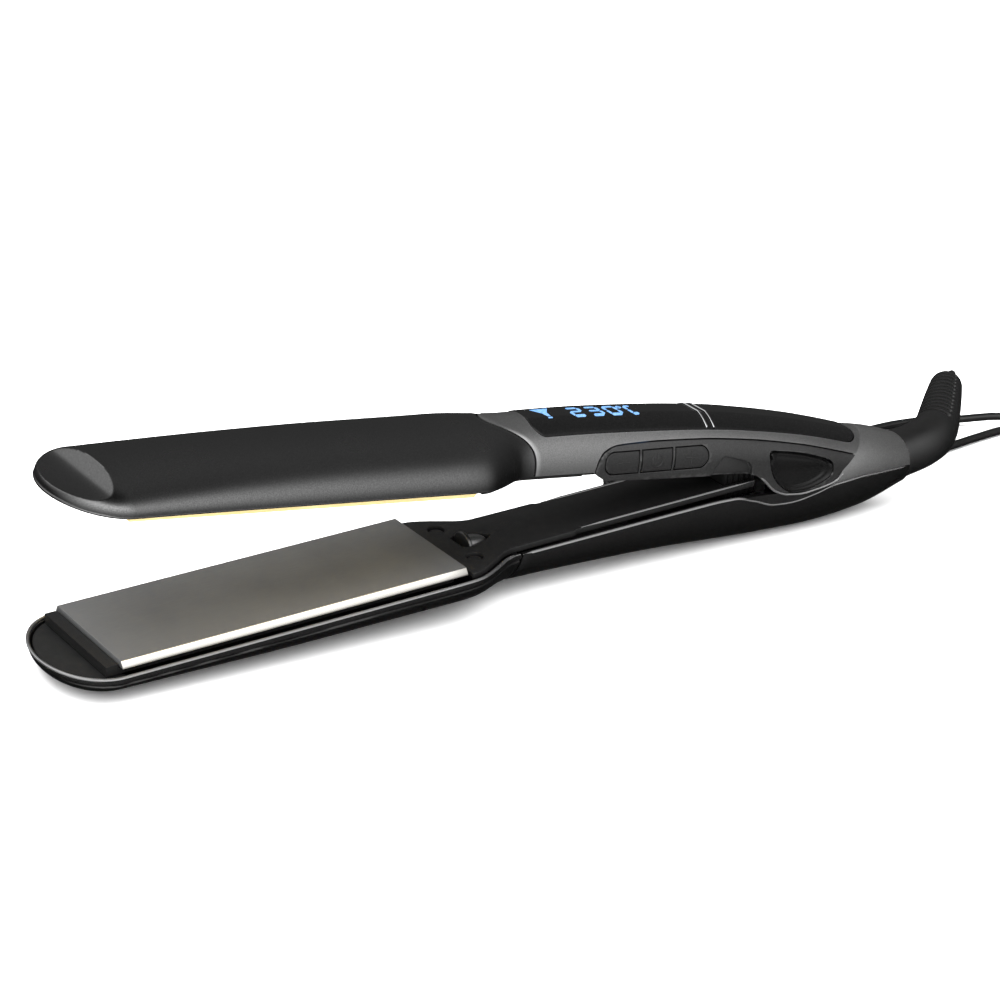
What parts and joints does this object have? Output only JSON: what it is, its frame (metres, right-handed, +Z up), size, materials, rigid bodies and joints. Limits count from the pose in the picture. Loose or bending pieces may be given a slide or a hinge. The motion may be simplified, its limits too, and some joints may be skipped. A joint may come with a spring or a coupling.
{
  "type": "flat iron",
  "caption": "Hair flat iron with wide floating heated plates, hinged spring-open arms, side buttons, display cover and swivel cord.",
  "frame": {"origin": "middle of the iron's length and width, on the surface it stands on", "axes": "+X from the plates towards the tail, +Y across the iron to the far side, +Z up"},
  "size_m": [0.4449, 0.0736, 0.0637],
  "materials": {
    "shell": "satin dark grey metallic lacquer",
    "handle": "satin grey metallic lacquer",
    "inner": "fine matt texture",
    "gloss_black": "polished black",
    "button": "satin grey lacquer",
    "titanium": "polished grey titanium coat",
    "gold": "polished pale gold coat",
    "steel": "plain steel",
    "chrome": "mirror plating",
    "ceramic": "unglazed",
    "silicone": "matt silicone",
    "board": "solder-masked board",
    "display_light": "light blue lit digits",
    "rubber": "matt black",
    "brass": "bright brass"
  },
  "bodies": {
    "lower_arm": {"lower_front_shell": "shell", "lower_handle_shell": "shell", "tail_cover": "handle", "lower_inner_cover": "inner", "ozone_outlet": "inner", "ozone_generator": "inner", "hinge_bracket": "steel", "hinge_pin": "steel", "hinge_spring": "steel", "ozone_cone": "steel", "lower_cover_screw_1": "steel", "lower_cover_screw_2": "steel", "underside_screw_1": "steel", "underside_screw_2": "steel", "mains_terminal": "ceramic", "swivel_bush": "ceramic", "lower_cushion_front": "silicone", "lower_cushion_rear": "silicone", "hinge_boot": "silicone", "cord": "rubber", "cord_hank": "rubber", "hank_tie": "rubber", "plug_body": "rubber", "plug_blade_1": "brass", "plug_blade_2": "brass"},
    "upper_arm": {"upper_cushion_front": "silicone", "upper_cushion_rear": "silicone", "upper_front_shell": "shell", "upper_inner_cover": "inner", "upper_cover_screw_1": "steel", "upper_cover_screw_2": "steel", "upper_handle_shell": "handle", "display_cover": "gloss_black", "trim_band": "chrome", "rear_cover": "gloss_black", "display_module": "display_light", "side_panel_near": "handle", "side_panel_far": "handle", "hinge_cap_near": "gloss_black", "hinge_cap_far": "gloss_black", "switch_minus": "steel", "switch_power": "steel", "switch_plus": "steel", "control_board": "board"},
    "lower_plate_unit": {"lower_plate": "titanium", "lower_plate_carrier": "inner", "lower_heater": "ceramic", "lower_heater_clamp": "steel", "lower_thermal_sensor": "ceramic"},
    "upper_plate_unit": {"upper_plate": "gold", "upper_plate_carrier": "inner", "upper_heater": "ceramic", "upper_heater_clamp": "steel", "upper_thermal_sensor": "ceramic"},
    "button_minus": {"button_minus": "button"},
    "button_power": {"button_power": "button"},
    "button_plus": {"button_plus": "button"},
    "swivel": {"cord_elbow": "rubber"}
  },
  "joints": [
    {"name": "arm_hinge", "type": "hinge", "parent": "lower_arm", "child": "upper_arm", "pos_m": [0.10148, 0, 0.02321], "axis": [0, 1, 0], "range_deg": [-9.6, 0], "stiffness_Nm_per_rad": 0.9, "springref_deg": 28.65},
    {"name": "lower_plate_float", "type": "slide", "parent": "lower_arm", "child": "lower_plate_unit", "axis": [0.0542, 0, -0.9985], "range_m": [0, 0.0004], "stiffness_N_per_m": 6000, "springref_m": -0.0003},
    {"name": "upper_plate_float", "type": "slide", "parent": "upper_arm", "child": "upper_plate_unit", "axis": [0.1153, 0, 0.9933], "range_m": [0, 0.0004], "stiffness_N_per_m": 6000, "springref_m": -0.0004},
    {"name": "button_minus_press", "type": "slide", "parent": "upper_arm", "child": "button_minus", "axis": [0, 1, 0], "range_m": [0, 0.0005], "stiffness_N_per_m": 400, "springref_m": -0.0008},
    {"name": "button_power_press", "type": "slide", "parent": "upper_arm", "child": "button_power", "axis": [0, 1, 0], "range_m": [0, 0.0005], "stiffness_N_per_m": 400, "springref_m": -0.0008},
    {"name": "button_plus_press", "type": "slide", "parent": "upper_arm", "child": "button_plus", "axis": [0, 1, 0], "range_m": [0, 0.0005], "stiffness_N_per_m": 400, "springref_m": -0.0008},
    {"name": "cord_swivel", "type": "hinge", "parent": "lower_arm", "child": "swivel", "pos_m": [0.154, 0, 0.01505], "axis": [0.9855, 0, 0.1699], "continuous": true, "deforming": ["cord"]}
  ]
}
